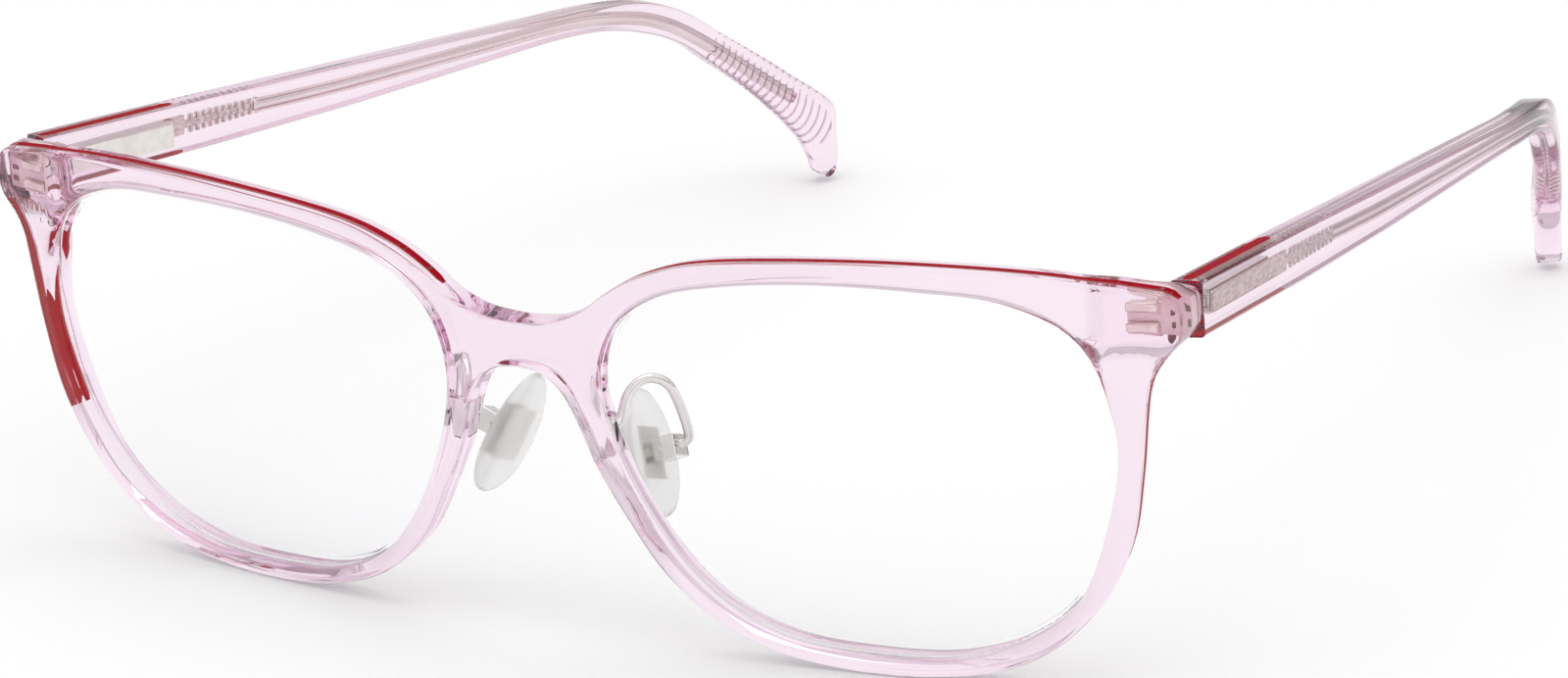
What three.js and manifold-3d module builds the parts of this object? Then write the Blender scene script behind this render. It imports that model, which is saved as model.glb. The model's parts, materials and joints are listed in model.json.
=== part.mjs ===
// Eyeglasses with a crystal acetate front, spring-hinged temples and adjustable nose pads.
// Millimetres. X runs across the face, -Y is the direction the lenses face, +Z is up.
// The glasses stand open on the lower rims and the two temple tips; Z = 0 is the table.
import * as THREE from 'three';
import { mergeVertices } from 'three/addons/utils/BufferGeometryUtils.js';
import Module from 'manifold-3d';

const wasm = await Module();
wasm.setup();

// ---------------------------------------------------------------- driving dimensions
const BASE_RADIUS = 245;        // spherical base curve of the front
const RIM_DEPTH = 3.2;          // thickness of the acetate front
const END_DEPTH = 4.85;         // thickness of the end pieces, where the hinges are let in
const END_START_X = 58;         // where the back of the front starts to step out to the end piece
const END_TOP_Z = 20.1;         // top of the end piece at the back of the rim
const END_DROP = 1.2;           // drop of that top edge towards the temple
const LENS_CENTRE_X = 34.3;     // lens centre to the middle of the bridge
const LENS_SETBACK = 0.6;       // front of the lens behind the front of the rim
const LENS_THICKNESS = 2.0;
const GROOVE_DEPTH = 0.75;      // V groove in the rim that holds the lens
const LENS_SIDES = 52;
const GAP = 0.3;                // clearance between touching pieces
const REST_TILT = 3.85;         // degrees that the front leans forward when the glasses stand
const REST_CUT = 0.2;           // height of the small flats polished where the rims meet the table
const RIM_BOTTOM_Z = -21.0;     // lowest point of the rim, measured from the lens centres
const LINE_WIDTH = 0.8;         // painted line in the edges
const LINE_GROOVE = 1.35;       // groove that the line lies in
const LINE_DEPTH = 0.45;

const TEMPLE_THICKNESS = 3.0;
const TEMPLE_OUTER_X = 67.4;    // outer face of the temple where it meets the front
const TEMPLE_START_Y = 13.4;
const TEMPLE_SPLAY = 0.09;      // inward run of the temple per mm of length
const TEMPLE_BEND_Y = 97;       // where the tail starts to curve in towards the head
const TEMPLE_BEND_RATE = 0.007;
const ARM_START_Y = 11;         // the blank of the arm runs from here, and is cut back behind the front
const ARM_STRAIGHT_Y = 40;      // end of the evenly tapered head of the arm
const ARM_TOP_Z = 19.9;
const ARM_TOP_SLOPE = 0.195;
const ARM_FOOT_Z = 14.2;
const ARM_FOOT_SLOPE = 0.1845;
const TEMPLE_FALL = 0.18;       // drop of the temple's centre line per mm of length
const LINE_START_Y = 15;        // where the painted lines on the temple start
const LINE_END_Y = 35.3;        // where the painted lines on the temple stop

const TEMPLE_MID_X = TEMPLE_OUTER_X - TEMPLE_THICKNESS / 2;

const HINGE = new THREE.Vector3(63.4, 15, 16.3);
const KNUCKLE_RADIUS = 1.2;
const KNUCKLE_HEIGHT = 0.9;
const KNUCKLE_GAP = 0.15;
const MID_KNUCKLE_HEIGHT = 1.0;
const SCREW_RADIUS = 0.5;
const SCREW_HOLE_RADIUS = 0.66;

// hinge box and tongue, measured from the hinge axis along the temple
const BOX_START = 2.7;
const BOX_END = 17.4;
const BOX_INNER_X = -0.95;
const BOX_OUTER_X = 1.85;
const BOX_HALF_HEIGHT = 1.2;
const BORE_HALF = 0.85;         // half width of the square bore in the box
const BORE_END = 16.7;
const MOUTH_HALF = 0.62;        // narrower mouth; the spring presses on the step behind it
const MOUTH_END = 8.2;
const BORE_X = 0.45;            // centre line of the bore
const ROD_RADIUS = 0.35;
const SPRING_RADIUS = 0.62;
const SPRING_WIRE = 0.12;
const SPRING_START = 8.4;
const SPRING_LENGTH = 6.0;
const SPRING_TURNS = 7;
const PLATE_START = 2.6;
const PLATE_END = 21.6;
const PLATE_HALF_HEIGHT = 1.05;
const LADDER_END = 33.7;
const LADDER_HALF_HEIGHT = 1.0;
const CORE_X = 2.55;            // middle of the metal core, measured from the hinge axis
const CORE_THICKNESS = 0.8;
const CORE_STEPS = 32;
const WIRE_HALF_HEIGHT = 0.75;  // long wire behind the toothed stretch

// nose pads
const PAD_LENGTH = 13.4;
const PAD_WIDTH = 8.4;
const PAD_THICKNESS = 2.4;
const PAD_CENTRE = new THREE.Vector3(8.6, 9.6, -3.7);
const PAD_UP = new THREE.Vector3(-0.35, 0.42, 0.84);
const PAD_BACK = new THREE.Vector3(0.06, 0.9, -0.43);
const PAD_WIRE_RADIUS = 0.5;

const COLOURS = {
  acetate: { color: 0xf1dfeb, roughness: 0.12, metalness: 0.0 },
  lens: { color: 0xf8fbfd, roughness: 0.03, metalness: 0.0 },
  line: { color: 0x8c0a1e, roughness: 0.35, metalness: 0.0 },
  nickel: { color: 0xcfc8be, roughness: 0.25, metalness: 1.0 },
  core: { color: 0xc9b8ae, roughness: 0.4, metalness: 1.0 },
  chrome: { color: 0xd8d8da, roughness: 0.1, metalness: 1.0 },
  silicone: { color: 0xe9ebe9, roughness: 0.4, metalness: 0.0 },
};

// ---------------------------------------------------------------- solids
function toSolid(geometry) {
  const plain = geometry.clone();
  plain.deleteAttribute('normal');
  plain.deleteAttribute('uv');
  const merged = mergeVertices(plain, 1e-4);
  return new wasm.Manifold(new wasm.Mesh({
    numProp: 3,
    vertProperties: new Float32Array(merged.attributes.position.array),
    triVerts: new Uint32Array(merged.index.array),
  }));
}

function toGeometry(solid) {
  const mesh = solid.getMesh();
  const geometry = new THREE.BufferGeometry();
  geometry.setAttribute('position', new THREE.BufferAttribute(mesh.vertProperties, 3));
  geometry.setIndex(new THREE.BufferAttribute(mesh.triVerts, 1));
  geometry.computeVertexNormals();
  return geometry;
}

function join(...geometries) {
  return toGeometry(geometries.map(toSolid).reduce((a, b) => a.add(b)));
}

function cut(geometry, ...tools) {
  return toGeometry(tools.map(toSolid).reduce((a, b) => a.subtract(b), toSolid(geometry)));
}

function block(x0, x1, y0, y1, z0, z1, steps = [1, 1, 1]) {
  const box = new THREE.BoxGeometry(x1 - x0, y1 - y0, z1 - z0, ...steps);
  return box.translate((x0 + x1) / 2, (y0 + y1) / 2, (z0 + z1) / 2);
}

function postZ(radius, z0, z1, x = 0, y = 0, sides = 20) {
  return new THREE.CylinderGeometry(radius, radius, z1 - z0, sides)
    .rotateX(Math.PI / 2).translate(x, y, (z0 + z1) / 2);
}

function postY(radius, y0, y1, x = 0, z = 0, sides = 14) {
  return new THREE.CylinderGeometry(radius, radius, y1 - y0, sides).translate(x, (y0 + y1) / 2, z);
}

function extrude(shape, depth, steps = 1) {
  return new THREE.ExtrudeGeometry(shape, { depth, steps, bevelEnabled: false, curveSegments: 10 });
}

// A shape drawn in X and Z, given a thickness from y0 to y1.
function acrossFront(shape, y0, y1) {
  return extrude(shape, y1 - y0).rotateX(Math.PI / 2).translate(0, y1, 0);
}

// A shape drawn in Y and Z, given a thickness from x0 to x1.
function alongTemple(shape, x0, x1) {
  const turn = new THREE.Matrix4().set(0, 0, 1, x0, 1, 0, 0, 0, 0, 1, 0, 0, 0, 0, 0, 1);
  return extrude(shape, x1 - x0).applyMatrix4(turn);
}

function mapVertices(geometry, change) {
  const position = geometry.attributes.position;
  const point = new THREE.Vector3();
  for (let i = 0; i < position.count; i += 1) {
    point.fromBufferAttribute(position, i);
    change(point);
    position.setXYZ(i, point.x, point.y, point.z);
  }
  return geometry;
}

function mirrored(geometry) {
  const copy = geometry.index ? geometry.clone() : mergeVertices(geometry);
  const order = Array.from(copy.index.array);
  for (let i = 0; i < order.length; i += 3) {
    [order[i], order[i + 1]] = [order[i + 1], order[i]];
  }
  copy.setIndex(order);
  copy.scale(-1, 1, 1);
  copy.computeVertexNormals();
  return copy;
}

// Closed solid through a stack of loops that have the same number of points. Each end is closed by
// rings that shrink towards the middle of the loop, so that a bent face stays smooth.
function stackLoops(loops, levels, rings) {
  const middle = loops[0].reduce((a, p) => a.add(p), new THREE.Vector2()).divideScalar(loops[0].length);
  const shrink = (loop, k) => loop.map((p) => p.clone().sub(middle).multiplyScalar(k).add(middle));
  const capped = [];
  for (let r = 1; r < rings; r += 1) capped.push([shrink(loops[0], r / rings), levels[0]]);
  loops.forEach((loop, i) => capped.push([loop, levels[i]]));
  for (let r = rings - 1; r > 0; r -= 1) capped.push([shrink(loops.at(-1), r / rings), levels.at(-1)]);
  const count = loops[0].length;
  const points = capped.flatMap(([loop, y]) => loop.map((p) => [p.x, y, p.y]));
  points.push([middle.x, levels[0], middle.y], [middle.x, levels.at(-1), middle.y]);
  const faces = [];
  for (let i = 0; i < capped.length - 1; i += 1) {
    for (let j = 0; j < count; j += 1) {
      const a = i * count + j;
      const b = i * count + ((j + 1) % count);
      faces.push(a, b + count, b, a, a + count, b + count);
    }
  }
  const first = capped.length * count;
  const last = (capped.length - 1) * count;
  for (let j = 0; j < count; j += 1) {
    const next = (j + 1) % count;
    faces.push(first, j, next, first + 1, last + next, last + j);
  }
  const geometry = new THREE.BufferGeometry();
  geometry.setAttribute('position', new THREE.Float32BufferAttribute(points.flat(), 3));
  geometry.setIndex(faces);
  return geometry;
}

// ---------------------------------------------------------------- the front
const v2 = (x, z) => new THREE.Vector2(x, z);

const ease = (t) => THREE.MathUtils.smoothstep(t, 0, 1);

// The front is drawn flat and then bent over its base curve. Depth runs square to the curve, but
// straight back in the end pieces, whose sides are flush with the temples.
function bendFront(geometry) {
  return mapVertices(geometry, (p) => {
    const square = 1 - ease((Math.abs(p.x) - END_START_X) / 4) * ease((p.z - 9) / 4);
    const turn = square / BASE_RADIUS;
    const lean = new THREE.Vector3(-p.x * turn, 1, -p.z * turn).normalize();
    const depth = p.y;
    p.y = (p.x * p.x + p.z * p.z) / (2 * BASE_RADIUS);
    p.addScaledVector(lean, depth);
  });
}

// Right lens opening: a wide, soft rectangle that narrows towards the bottom.
function lensLoop(segments) {
  const knots = [[26.1, 0], [26.3, 7.4], [23.6, 14.6], [17, 18.2], [8, 19.1], [-2, 19.2], [-11, 18.4],
    [-18.6, 16.6], [-23.8, 12.6], [-25.6, 6.6], [-24.2, -0.4], [-20.2, -8.7], [-15, -14.8],
    [-8.2, -18.1], [0, -19.1], [9, -18.8], [16.4, -16.2], [22.2, -10.9]];
  const corners = knots.map(([x, z]) => new THREE.Vector3(x + LENS_CENTRE_X, z, 0));
  const curve = new THREE.CatmullRomCurve3(corners, true, 'centripetal');
  return curve.getSpacedPoints(segments).slice(0, segments).map((p) => v2(p.x, p.y));
}

function offsetLoop(loop, distance) {
  const count = loop.length;
  return loop.map((p, i) => {
    const run = loop[(i + 1) % count].clone().sub(loop[(i + count - 1) % count]).normalize();
    return v2(p.x + run.y * distance, p.y - run.x * distance);
  });
}

// Right half of the outline: brow, end piece, outer rim, bottom, nose side and bridge arch.
function outerHalf() {
  const path = new THREE.Path();
  path.moveTo(0, 12.7);
  path.splineThru([v2(4.2, 13.1), v2(7.6, 14.5), v2(10.6, 16.7), v2(14.4, 18.7), v2(20, 20.3),
    v2(29, 21.2), v2(41, 21.6), v2(54, 21.2), v2(65.6, 19.8)]);
  path.quadraticCurveTo(67.3, 19.5, 67.4, 18);
  path.lineTo(67.4, 16.2);
  path.quadraticCurveTo(67.4, 14.9, 66.3, 14);
  path.quadraticCurveTo(64.6, 12.6, 64.2, 10.6);
  path.splineThru([v2(63.7, 7), v2(62.9, 1), v2(61.5, -5.6), v2(58.5, -11.5), v2(53.5, -16.7),
    v2(47.6, -19.7), v2(40, RIM_BOTTOM_Z + 0.1), v2(33.5, RIM_BOTTOM_Z + 0.1), v2(26, -19.8),
    v2(19.4, -17.1), v2(14, -12.3), v2(10.3, -6.3), v2(7.7, -1.3), v2(6.3, 2.6), v2(4.9, 5.6),
    v2(2.8, 7.5), v2(0, 8)]);
  return path;
}

function frontShape() {
  const half = outerHalf().getPoints(5);
  const other = half.slice(1, -1).reverse().map((p) => v2(-p.x, p.y));
  return new THREE.Shape([...half, ...other]);
}

// V-edged blank: a lens when it shrinks by a gap, the cutter of the groove when it grows.
function lensBlank(edge, apex, y0, y1, rings) {
  const loop = lensLoop(LENS_SIDES);
  const mid = (y0 + y1) / 2;
  const loops = [offsetLoop(loop, edge), offsetLoop(loop, edge), offsetLoop(loop, apex),
    offsetLoop(loop, edge), offsetLoop(loop, edge)];
  return stackLoops(loops, [y0, mid - 0.7, mid, mid + 0.7, y1], rings);
}

// Strip that follows a stretch of the outline, from depth below the surface to just above it.
function edgeStrip(points, below, above, width) {
  const outward = points.map((p, i) => {
    const a = points[Math.max(i - 1, 0)];
    const b = points[Math.min(i + 1, points.length - 1)];
    const run = b.clone().sub(a).normalize();
    return v2(-run.y, run.x);
  });
  const upper = points.map((p, i) => p.clone().addScaledVector(outward[i], above));
  const lower = points.map((p, i) => p.clone().addScaledVector(outward[i], -below));
  const shape = new THREE.Shape([...lower, ...upper.reverse()]);
  const middle = RIM_DEPTH / 2;
  return acrossFront(shape, middle - width / 2, middle + width / 2);
}

function outlineStretch(keep) {
  return outerHalf().getPoints(5).filter(keep);
}

const browPoints = () => outlineStretch((p) => p.x > 8.4 && p.y > (p.x < 60 ? 14.8 : 18.4));
const sidePoints = () => outlineStretch((p) => p.x > 60.8 && p.y < 14.1 && p.y > -6.5);

function paintedLine(points) {
  return bendFront(edgeStrip(points.slice(1, -1), LINE_DEPTH, -0.03, LINE_WIDTH));
}

// Height, above the lens centre line, of the table under the standing glasses.
const TILT = THREE.MathUtils.degToRad(REST_TILT);
const rimFrontY = (37 * 37 + RIM_BOTTOM_Z * RIM_BOTTOM_Z) / (2 * BASE_RADIUS);
const TABLE = rimFrontY * Math.sin(TILT) + RIM_BOTTOM_Z * Math.cos(TILT) + REST_CUT;

function tableCutter() {
  return block(-90, 90, -30, 170, -20, 0).translate(0, 0, TABLE).rotateX(-TILT);
}

// Thick end piece behind the outer top corner, with a ramp on the side of the lens.
function endPiece() {
  const plan = new THREE.Shape([v2(END_START_X, RIM_DEPTH - 0.3), v2(END_START_X, RIM_DEPTH),
    v2(END_START_X + 2, END_DEPTH), v2(70, END_DEPTH), v2(70, RIM_DEPTH - 0.3)]);
  const ramp = extrude(plan, 12).translate(0, 0, 12.9);
  const outline = acrossFront(frontShape(), 0, END_DEPTH);
  const slope = new THREE.Shape([v2(0, 25), v2(0, 10), v2(END_DEPTH, 10),
    v2(END_DEPTH, END_TOP_Z - END_DROP), v2(RIM_DEPTH - 0.3, END_TOP_Z), v2(RIM_DEPTH - 0.3, 25)]);
  const keep = alongTemple(slope, 50, 75);
  return toGeometry(toSolid(ramp).intersect(toSolid(outline)).intersect(toSolid(keep)));
}

function hingePocket() {
  return block(61, 66.6, END_DEPTH - 1.3, END_DEPTH + 1, 14.6, 18.2);
}

function anchorPocket() {
  return block(7.6, 9.5, RIM_DEPTH - 1.5, RIM_DEPTH + 1, -1.3, 3.7);
}

function frontGeometry() {
  const end = endPiece();
  const plate = join(acrossFront(frontShape(), 0, RIM_DEPTH), end, mirrored(end));
  const mid = LENS_SETBACK + LENS_THICKNESS / 2;
  const groove = lensBlank(-0.4, GROOVE_DEPTH, mid - 1.1, mid + 1.1, 1);
  const opening = acrossFront(new THREE.Shape(lensLoop(LENS_SIDES)), -1, END_DEPTH + 1);
  const tools = [opening, groove, edgeStrip(browPoints(), LINE_DEPTH + GAP, 1, LINE_GROOVE),
    edgeStrip(sidePoints(), LINE_DEPTH + GAP, 1, LINE_GROOVE), hingePocket(), anchorPocket()];
  const both = tools.flatMap((tool) => [tool, mirrored(tool)]);
  return cut(bendFront(cut(plate, ...both)), tableCutter());
}

function lensGeometry() {
  return bendFront(lensBlank(-GAP, GROOVE_DEPTH - 0.35, LENS_SETBACK, LENS_SETBACK + LENS_THICKNESS, 3));
}

// ---------------------------------------------------------------- hinge
// Pieces on the temple side are drawn along +Y from the hinge axis, then swung to the temple's line.
const SPLAY_ANGLE = Math.atan(TEMPLE_SPLAY);
const FALL_ANGLE = Math.atan(TEMPLE_FALL);

function alongTempleLine(geometry) {
  return geometry.rotateX(-FALL_ANGLE).rotateZ(SPLAY_ANGLE).translate(HINGE.x, HINGE.y, HINGE.z);
}

function atHinge(geometry) {
  return geometry.translate(HINGE.x, HINGE.y, HINGE.z);
}

const KNUCKLE_TOP = MID_KNUCKLE_HEIGHT / 2 + KNUCKLE_GAP + KNUCKLE_HEIGHT;
const KNUCKLE_FOOT = MID_KNUCKLE_HEIGHT / 2 + KNUCKLE_GAP;

// Metal leaf set into the back of the end piece, with the two outer knuckles.
function frontHingeGeometry() {
  const leaf = bendFront(block(61.3, 66.3, END_DEPTH - 1, END_DEPTH - 0.1, 14.9, 17.9, [4, 1, 1]));
  const knuckle = (z0, z1) => {
    const web = block(-0.9, 0.9, -2.4, 0, z0, z1);
    return atHinge(join(postZ(KNUCKLE_RADIUS, z0, z1), web));
  };
  const hole = atHinge(postZ(SCREW_HOLE_RADIUS, -4, 4));
  const slots = bendFront(join(block(65.2, 66, 1, 7, 15.5, 16.1), block(65.1, 66, 1, 7, 16.7, 17.2)));
  return cut(join(leaf, knuckle(KNUCKLE_FOOT, KNUCKLE_TOP), knuckle(-KNUCKLE_TOP, -KNUCKLE_FOOT)),
    hole, slots);
}

function hingeScrewGeometry() {
  const head = postZ(0.85, KNUCKLE_TOP + 0.12, KNUCKLE_TOP + 0.5);
  const shank = postZ(SCREW_RADIUS, -KNUCKLE_TOP - 0.1, KNUCKLE_TOP + 0.3);
  const slot = block(-1, 1, -0.12, 0.12, KNUCKLE_TOP + 0.32, KNUCKLE_TOP + 1);
  return atHinge(cut(join(head, shank), slot));
}

// Middle knuckle with the flat tongue and the rod that runs through the spring.
function hingeTongueGeometry() {
  const knuckle = postZ(KNUCKLE_RADIUS, -MID_KNUCKLE_HEIGHT / 2, MID_KNUCKLE_HEIGHT / 2);
  const neck = block(BORE_X - 0.4, BORE_X + 0.4, 0.4, 3.4, -0.4, 0.4);
  const tongue = block(BORE_X - 0.45, BORE_X + 0.45, 3, 7.6, -0.45, 0.45);
  const rod = postY(ROD_RADIUS, 7.5, 15.7, BORE_X, 0);
  const arm = join(neck, tongue, rod).rotateX(-FALL_ANGLE).rotateZ(SPLAY_ANGLE);
  return atHinge(cut(join(knuckle, arm), postZ(SCREW_HOLE_RADIUS, -4, 4)));
}

class Helix extends THREE.Curve {
  getPoint(t, target = new THREE.Vector3()) {
    const angle = 2 * Math.PI * SPRING_TURNS * t;
    return target.set(BORE_X + SPRING_RADIUS * Math.cos(angle), SPRING_START + SPRING_LENGTH * t,
      SPRING_RADIUS * Math.sin(angle));
  }
}

function ring(radius, sides) {
  const points = [];
  for (let i = 0; i < sides; i += 1) {
    const angle = (2 * Math.PI * i) / sides;
    points.push(v2(radius * Math.cos(angle), radius * Math.sin(angle)));
  }
  return new THREE.Shape(points);
}

function hingeSpringGeometry() {
  const wire = new THREE.ExtrudeGeometry(ring(SPRING_WIRE, 4), {
    steps: SPRING_TURNS * 9, extrudePath: new Helix(), curveSegments: 1,
  });
  return alongTempleLine(wire);
}

function springNutGeometry() {
  const body = postY(0.68, 14.65, 15.55, BORE_X, 0, 16);
  return alongTempleLine(cut(body, postY(ROD_RADIUS + 0.12, 14, 16, BORE_X, 0)));
}

// Rectangular box with a ramped nose; the square bore is open at the nose.
function hingeBoxGeometry() {
  const h = BOX_HALF_HEIGHT;
  const profile = new THREE.Shape([v2(BOX_OUTER_X, BOX_START), v2(BOX_OUTER_X, BOX_END),
    v2(BOX_INNER_X + 0.4, BOX_END), v2(BOX_INNER_X, BOX_END - 0.6), v2(BOX_INNER_X, 9.6),
    v2(BOX_INNER_X + 0.3, 8.4), v2(BOX_INNER_X + 0.3, BOX_START)]);
  const body = extrude(profile, 2 * h).translate(0, 0, -h);
  const bore = (half, y0, y1) => block(BORE_X - half, BORE_X + half, y0, y1, -half, half);
  return alongTempleLine(cut(body, bore(MOUTH_HALF, BOX_START - 1, BORE_END),
    bore(BORE_HALF, MOUTH_END, BORE_END)));
}

// ---------------------------------------------------------------- temple
function bendTemple(geometry) {
  return mapVertices(geometry, (p) => {
    const past = Math.max(0, p.y - TEMPLE_BEND_Y);
    const inward = TEMPLE_SPLAY * (p.y - TEMPLE_START_Y) + TEMPLE_BEND_RATE * past * past;
    const angle = Math.atan(TEMPLE_SPLAY + 2 * TEMPLE_BEND_RATE * past);
    const side = p.x - TEMPLE_MID_X;
    p.x = TEMPLE_MID_X - inward + side * Math.cos(angle);
    p.y += side * Math.sin(angle);
  });
}

const armTop = (y) => ARM_TOP_Z - ARM_TOP_SLOPE * (y - ARM_START_Y);
const armFoot = (y) => ARM_FOOT_Z - ARM_FOOT_SLOPE * (y - ARM_START_Y);

// Side view of the temple: straight arm, ear bend, and a tail that widens into a hooked tip.
function templeShape() {
  const shape = new THREE.Shape();
  shape.moveTo(ARM_START_Y, ARM_FOOT_Z);
  shape.lineTo(ARM_STRAIGHT_Y, armFoot(ARM_STRAIGHT_Y));
  shape.lineTo(62, 5.1);
  shape.lineTo(84, 1.7);
  shape.splineThru([v2(99, -0.7), v2(108.2, -2.9), v2(115.9, -6.7), v2(121.6, -12.1), v2(126.5, -17.7),
    v2(130.2, -23.1), v2(131.6, -26.2)]);
  shape.splineThru([v2(132, -28.4), v2(132.8, -29.2), v2(133.8, -28.9), v2(134.7, -26.7), v2(134.8, -23.7),
    v2(134.9, -21), v2(133.4, -18.8), v2(130.7, -16)]);
  shape.splineThru([v2(127.3, -12.5), v2(122.4, -8), v2(117.8, -3.8), v2(112.6, -1), v2(105.8, 0.8),
    v2(98, 2.4)]);
  shape.lineTo(84, 5.25);
  shape.lineTo(62, 9.75);
  shape.lineTo(ARM_STRAIGHT_Y, armTop(ARM_STRAIGHT_Y));
  shape.lineTo(ARM_START_Y, ARM_TOP_Z);
  return shape;
}

// Middle line of the metal core in the side view.
function coreCurve(startY) {
  const startZ = HINGE.z - TEMPLE_FALL * (startY - HINGE.y);
  const points = [[startY, startZ], [62, 7.5], [84, 3.5], [99, 0.8], [107, -1.2], [113.6, -4], [119.4, -8.8],
    [128.4, -18.6]];
  return new THREE.CatmullRomCurve3(points.map(([y, z]) => new THREE.Vector3(y, z, 0)), false, 'centripetal');
}

// Flat bar along the core's middle line, drawn straight and then bent with the temple.
function coreBar(halfHeight, halfThickness, extra) {
  const curve = coreCurve(HINGE.y + LADDER_END - 1);
  const loops = [];
  const levels = [];
  const section = (p, slope) => {
    const half = halfHeight * Math.hypot(1, slope);
    const x0 = TEMPLE_MID_X - halfThickness;
    const x1 = TEMPLE_MID_X + halfThickness;
    loops.push([v2(x0, p.y - half), v2(x1, p.y - half), v2(x1, p.y + half), v2(x0, p.y + half)]);
    levels.push(p.x);
  };
  for (let i = 0; i <= CORE_STEPS; i += 1) {
    const run = curve.getTangentAt(i / CORE_STEPS);
    const p = curve.getPointAt(i / CORE_STEPS);
    section(p, run.y / run.x);
    if (i === CORE_STEPS && extra > 0) section(p.addScaledVector(run, extra), run.y / run.x);
  }
  return bendTemple(stackLoops(loops, levels, 1));
}

// Core: head plate under the hinge box, a toothed stretch that grips the acetate, and a long wire.
function templeCoreGeometry() {
  const wire = coreBar(WIRE_HALF_HEIGHT, CORE_THICKNESS / 2, 0);
  const half = CORE_THICKNESS / 2;
  const plate = block(CORE_X - half, CORE_X + half, PLATE_START, PLATE_END, -PLATE_HALF_HEIGHT,
    PLATE_HALF_HEIGHT);
  const ladder = block(CORE_X - half, CORE_X + half, PLATE_END - 0.1, LADDER_END, -LADDER_HALF_HEIGHT,
    LADDER_HALF_HEIGHT);
  const notches = [];
  for (let y = PLATE_END + 0.6; y < LADDER_END - 1.4; y += 1.1) {
    notches.push(block(CORE_X - 1, CORE_X + 1, y, y + 0.5, 0.45, 2));
    notches.push(block(CORE_X - 1, CORE_X + 1, y, y + 0.5, -2, -0.45));
  }
  const head = alongTempleLine(cut(join(plate, ladder), ...notches));
  return join(wire, head);
}

function templeTools() {
  const wireSlot = coreBar(WIRE_HALF_HEIGHT + GAP, CORE_THICKNESS / 2 + GAP, GAP);
  const half = CORE_THICKNESS / 2 + GAP;
  const coreSlot = alongTempleLine(block(CORE_X - half, CORE_X + half, -4, LADDER_END + GAP,
    -PLATE_HALF_HEIGHT - GAP, PLATE_HALF_HEIGHT + GAP));
  const pocket = alongTempleLine(block(-3, CORE_X, -4, BOX_END + GAP, -BOX_HALF_HEIGHT - GAP,
    BOX_HALF_HEIGHT + GAP));
  const knuckleRoom = atHinge(postZ(KNUCKLE_RADIUS + GAP, -KNUCKLE_TOP - GAP, KNUCKLE_TOP + 3 * GAP));
  const behindFront = bendFront(block(52, 76, -3, END_DEPTH + GAP, 4, 30, [8, 1, 4]));
  return [wireSlot, coreSlot, pocket, knuckleRoom, behindFront, tableCutter()];
}

// Painted groove in the top or bottom edge of the temple, near the hinge.
function templeLine(shrink, below, edge) {
  const level = edge > 0 ? armTop : armFoot;
  const y0 = LINE_START_Y + shrink;
  const y1 = LINE_END_Y - shrink;
  const lift = shrink > 0 ? -0.03 : 1;
  const shape = new THREE.Shape([v2(y0, level(y0) - edge * below), v2(y1, level(y1) - edge * below),
    v2(y1, level(y1) + edge * lift), v2(y0, level(y0) + edge * lift)]);
  const half = (shrink > 0 ? LINE_WIDTH : LINE_GROOVE) / 2;
  const side = edge > 0 ? shape : new THREE.Shape(shape.getPoints().reverse());
  return bendTemple(alongTemple(side, TEMPLE_MID_X - half, TEMPLE_MID_X + half));
}

function templeGeometry() {
  const arm = bendTemple(alongTemple(templeShape(), TEMPLE_OUTER_X - TEMPLE_THICKNESS, TEMPLE_OUTER_X));
  return cut(arm, ...templeTools(), templeLine(0, LINE_DEPTH + GAP, 1), templeLine(0, LINE_DEPTH + GAP, -1));
}

// ---------------------------------------------------------------- nose pads
function padFrame() {
  const up = PAD_UP.clone().normalize();
  const back = PAD_BACK.clone().addScaledVector(up, -PAD_BACK.dot(up)).normalize();
  const out = new THREE.Vector3().crossVectors(back, up).normalize();
  const frame = new THREE.Matrix4().makeBasis(back, up, out);
  return frame.setPosition(PAD_CENTRE);
}

const placePad = (geometry) => geometry.applyMatrix4(padFrame());

// Pad drawn flat: X towards the ear, Y up, -Z towards the nose.
function nosePadGeometry() {
  const outline = new THREE.Shape();
  outline.absellipse(0, 0, PAD_WIDTH / 2, PAD_LENGTH / 2, 0, 2 * Math.PI);
  const dome = new THREE.SphereGeometry(1, 24, 14);
  dome.scale(PAD_WIDTH / 2, PAD_LENGTH / 2, PAD_THICKNESS);
  const slab = block(-9, 9, -9, 9, -PAD_THICKNESS, 0);
  const body = toGeometry(toSolid(dome).intersect(toSolid(slab)));
  const pocket = block(-1.9, 1.9, -2.9, 2.9, -1.1, 1);
  return placePad(cut(body, pocket));
}

// Metal plate inside the pad, with the lug that enters the box.
function padLugGeometry() {
  const plate = block(-1.6, 1.6, -2.6, 2.6, -0.8, -0.3);
  const lug = block(-0.6, 0.6, -0.45, 0.45, -0.4, 2.35);
  const hole = postX(0.33, -2, 2, 0, 1.5);
  return placePad(cut(join(plate, lug), hole));
}

function postX(radius, x0, x1, y, z) {
  return new THREE.CylinderGeometry(radius, radius, x1 - x0, 12).rotateZ(Math.PI / 2)
    .translate((x0 + x1) / 2, y, z);
}

function padScrewGeometry() {
  const shank = postX(0.22, -1.35, 1.35, 0, 1.5);
  const head = postX(0.5, 1.32, 1.6, 0, 1.5);
  return placePad(join(shank, head));
}

// Box on the end of the pad arm, open towards the pad.
function padBoxSolid() {
  const body = block(-1.2, 1.2, -1.1, 1.1, 0.6, 3.1);
  const hollow = block(-0.8, 0.8, -0.72, 0.72, 0, 2.7);
  return placePad(cut(body, hollow, postX(0.34, -2, 2, 0, 1.5)));
}

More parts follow.
